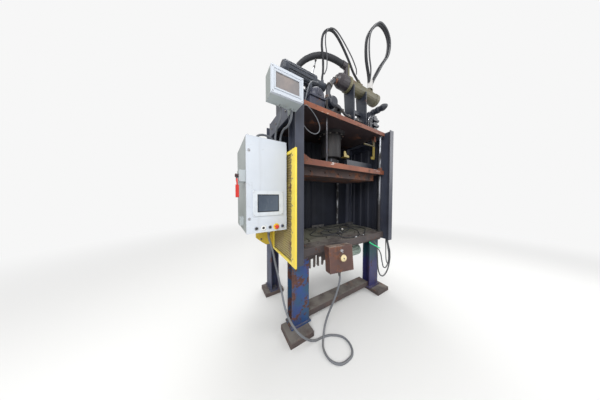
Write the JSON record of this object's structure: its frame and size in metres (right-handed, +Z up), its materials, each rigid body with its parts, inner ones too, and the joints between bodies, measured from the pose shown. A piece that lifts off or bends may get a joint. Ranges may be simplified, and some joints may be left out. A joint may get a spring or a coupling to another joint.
{
  "type": "hydraulic press",
  "caption": "Upright moulding press: a ram drives a platen down on guide rods, with a control cabinet on the left, a hanging button station and a hose-fed power unit on top.",
  "frame": {"origin": "middle of the footprint on the floor, cords left out", "axes": "+Z up, the open front faces -Y, +X to the right seen from the front"},
  "size_m": [2.4488, 1.4609, 4.3653],
  "materials": {
    "accumulator_finish": "worn",
    "accumulator_stand_finish": "worn",
    "bed_finish": "oily",
    "black_button_finish": "satin",
    "bolster_plate_finish": "oily",
    "cabinet_body_finish": "satin",
    "cabinet_door_finish": "satin",
    "cabinet_support_finish": "worn",
    "conduit_left_finish": "matt",
    "conduit_right_finish": "matt",
    "control_cable_finish": "matt",
    "crown_plate_finish": "rusty",
    "disconnect_handle_finish": "gloss",
    "estop_button_finish": "gloss",
    "filter_housing_finish": "oily",
    "floor_tie_finish": "dusty",
    "foot_block_front_left_finish": "worn",
    "foot_block_front_right_finish": "worn",
    "foot_block_rear_left_finish": "worn",
    "foot_block_rear_right_finish": "worn",
    "gear_pump_finish": "painted",
    "guide_rod_front_left_finish": "polished",
    "guide_rod_front_right_finish": "polished",
    "guide_rod_rear_left_finish": "polished",
    "guide_rod_rear_right_finish": "polished",
    "heated_platen_finish": "heat stained",
    "hmi_panel_finish": "satin",
    "hose_loop_left_finish": "matt",
    "hose_loop_right_finish": "matt",
    "junction_box_finish": "satin",
    "junction_lid_finish": "satin",
    "junction_window_finish": "dusty",
    "key_switch_finish": "satin",
    "latch_hook_finish": "worn",
    "left_guard_finish": "worn",
    "leg_front_left_finish": "worn",
    "leg_front_right_finish": "worn",
    "leg_rear_left_finish": "worn",
    "leg_rear_right_finish": "worn",
    "main_cylinder_finish": "oily",
    "mounting_panel_finish": "satin",
    "palm_button_finish": "satin",
    "platen_finish": "rusty",
    "platen_bar_finish": "dusty",
    "ram_finish": "polished",
    "rear_curtain_finish": "dusty",
    "reservoir_finish": "oily",
    "right_guard_finish": "dusty",
    "ringed_button_finish": "satin",
    "second_black_button_finish": "satin",
    "side_frame_left_finish": "worn",
    "side_frame_right_finish": "worn",
    "side_motor_finish": "painted",
    "station_box_finish": "rusty",
    "station_selector_finish": "satin",
    "suction_hose_finish": "matt",
    "trip_rod_finish": "polished",
    "underbed_pump_finish": "painted",
    "underbed_valve_finish": "oily",
    "valve_manifold_finish": "oily"
  },
  "bodies": {
    "frame": {"accumulator": "accumulator_finish", "accumulator_stand": "accumulator_stand_finish", "bed": "bed_finish", "bolster_plate": "bolster_plate_finish", "cabinet_body": "cabinet_body_finish", "cabinet_support": "cabinet_support_finish", "conduit_left": "conduit_left_finish", "conduit_right": "conduit_right_finish", "control_cable": "control_cable_finish", "crown_plate": "crown_plate_finish", "filter_housing": "filter_housing_finish", "floor_tie": "floor_tie_finish", "foot_block_front_left": "foot_block_front_left_finish", "foot_block_front_right": "foot_block_front_right_finish", "foot_block_rear_left": "foot_block_rear_left_finish", "foot_block_rear_right": "foot_block_rear_right_finish", "gear_pump": "gear_pump_finish", "guide_rod_front_left": "guide_rod_front_left_finish", "guide_rod_front_right": "guide_rod_front_right_finish", "guide_rod_rear_left": "guide_rod_rear_left_finish", "guide_rod_rear_right": "guide_rod_rear_right_finish", "hose_loop_left": "hose_loop_left_finish", "hose_loop_right": "hose_loop_right_finish", "junction_box": "junction_box_finish", "left_guard": "left_guard_finish", "leg_front_left": "leg_front_left_finish", "leg_front_right": "leg_front_right_finish", "leg_rear_left": "leg_rear_left_finish", "leg_rear_right": "leg_rear_right_finish", "main_cylinder": "main_cylinder_finish", "mounting_panel": "mounting_panel_finish", "rear_curtain": "rear_curtain_finish", "reservoir": "reservoir_finish", "right_guard": "right_guard_finish", "side_frame_left": "side_frame_left_finish", "side_frame_right": "side_frame_right_finish", "side_motor": "side_motor_finish", "station_box": "station_box_finish", "suction_hose": "suction_hose_finish", "underbed_pump": "underbed_pump_finish", "underbed_valve": "underbed_valve_finish", "valve_manifold": "valve_manifold_finish"},
    "platen_body": {"platen": "platen_finish", "heated_platen": "heated_platen_finish", "ram": "ram_finish", "trip_rod": "trip_rod_finish", "platen_bar": "platen_bar_finish"},
    "latch_body": {"latch_hook": "latch_hook_finish"},
    "door_body": {"cabinet_door": "cabinet_door_finish", "hmi_panel": "hmi_panel_finish"},
    "black_button_body": {"black_button": "black_button_finish"},
    "ringed_button_body": {"ringed_button": "ringed_button_finish"},
    "second_black_button_body": {"second_black_button": "second_black_button_finish"},
    "estop_body": {"estop_button": "estop_button_finish"},
    "key_body": {"key_switch": "key_switch_finish"},
    "disconnect_body": {"disconnect_handle": "disconnect_handle_finish"},
    "lid_body": {"junction_lid": "junction_lid_finish", "junction_window": "junction_window_finish"},
    "selector_body": {"station_selector": "station_selector_finish"},
    "palm_body": {"palm_button": "palm_button_finish"}
  },
  "joints": [
    {"name": "platen_slide", "type": "slide", "parent": "frame", "child": "platen_body", "axis": [0, 0, 1], "range_m": [-0.62, 0]},
    {"name": "latch_hinge", "type": "hinge", "parent": "frame", "child": "latch_body", "pos_m": [0.89465, -0.31485, 2.44], "axis": [0, 1, 0], "range_deg": [-30, 0]},
    {"name": "door_hinge", "type": "hinge", "parent": "frame", "child": "door_body", "pos_m": [-0.66635, -0.36485, 1.6505], "axis": [0, 0, 1], "range_deg": [0, 70]},
    {"name": "black_button_push", "type": "slide", "parent": "door_body", "child": "black_button_body", "axis": [0, 1, 0], "range_m": [0, 0.004], "stiffness_N_per_m": 600, "springref_m": -0.002},
    {"name": "ringed_button_push", "type": "slide", "parent": "door_body", "child": "ringed_button_body", "axis": [0, 1, 0], "range_m": [0, 0.004], "stiffness_N_per_m": 600, "springref_m": -0.002},
    {"name": "second_black_button_push", "type": "slide", "parent": "door_body", "child": "second_black_button_body", "axis": [0, 1, 0], "range_m": [0, 0.004], "stiffness_N_per_m": 600, "springref_m": -0.002},
    {"name": "estop_push", "type": "slide", "parent": "door_body", "child": "estop_body", "axis": [0, 1, 0], "range_m": [0, 0.006]},
    {"name": "key_turn", "type": "hinge", "parent": "door_body", "child": "key_body", "pos_m": [-0.71435, -0.36485, 1.252], "axis": [0, 1, 0], "range_deg": [0, 90]},
    {"name": "disconnect_turn", "type": "hinge", "parent": "frame", "child": "disconnect_body", "pos_m": [-1.11065, -0.30485, 1.735], "axis": [1, 0, 0], "range_deg": [-80, 0]},
    {"name": "lid_hinge", "type": "hinge", "parent": "frame", "child": "lid_body", "pos_m": [-0.92035, -0.64915, 2.433], "axis": [0, 0, -1], "range_deg": [0, 110]},
    {"name": "selector_turn", "type": "hinge", "parent": "frame", "child": "selector_body", "pos_m": [-0.08314, -0.56194, 0.94071], "axis": [0.1894, 0.9743, -0.1219], "range_deg": [-45, 45]},
    {"name": "palm_push", "type": "slide", "parent": "frame", "child": "palm_body", "axis": [0.1894, 0.9743, -0.1219], "range_m": [0, 0.006], "stiffness_N_per_m": 900, "springref_m": -0.003}
  ]
}
